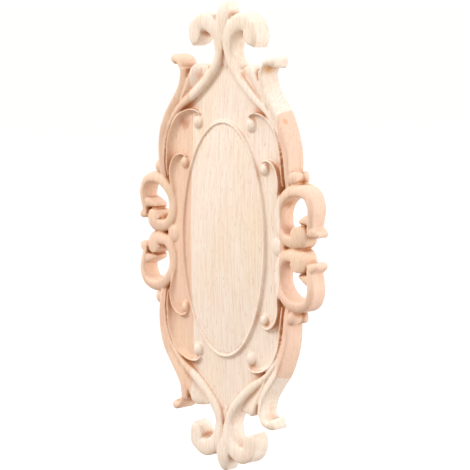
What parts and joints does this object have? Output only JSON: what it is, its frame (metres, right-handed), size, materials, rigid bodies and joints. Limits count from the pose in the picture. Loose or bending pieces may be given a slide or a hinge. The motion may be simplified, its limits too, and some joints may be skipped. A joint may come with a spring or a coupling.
{
  "type": "wood applique",
  "caption": "Carved oval wood applique with scrolled ends and a raised oval medallion, flat on the back for gluing to furniture, doors or panels.",
  "frame": {"origin": "centre of the flat back face", "axes": "+Z along the length of the oval, +X to the right seen from the front, +Y out of the flat back, so the carving faces -Y"},
  "size_m": [0.1538, 0.0148, 0.2992],
  "materials": {
    "applique": "bare, sanded, unfinished"
  },
  "bodies": {
    "root": {"applique": "applique"}
  },
  "joints": []
}
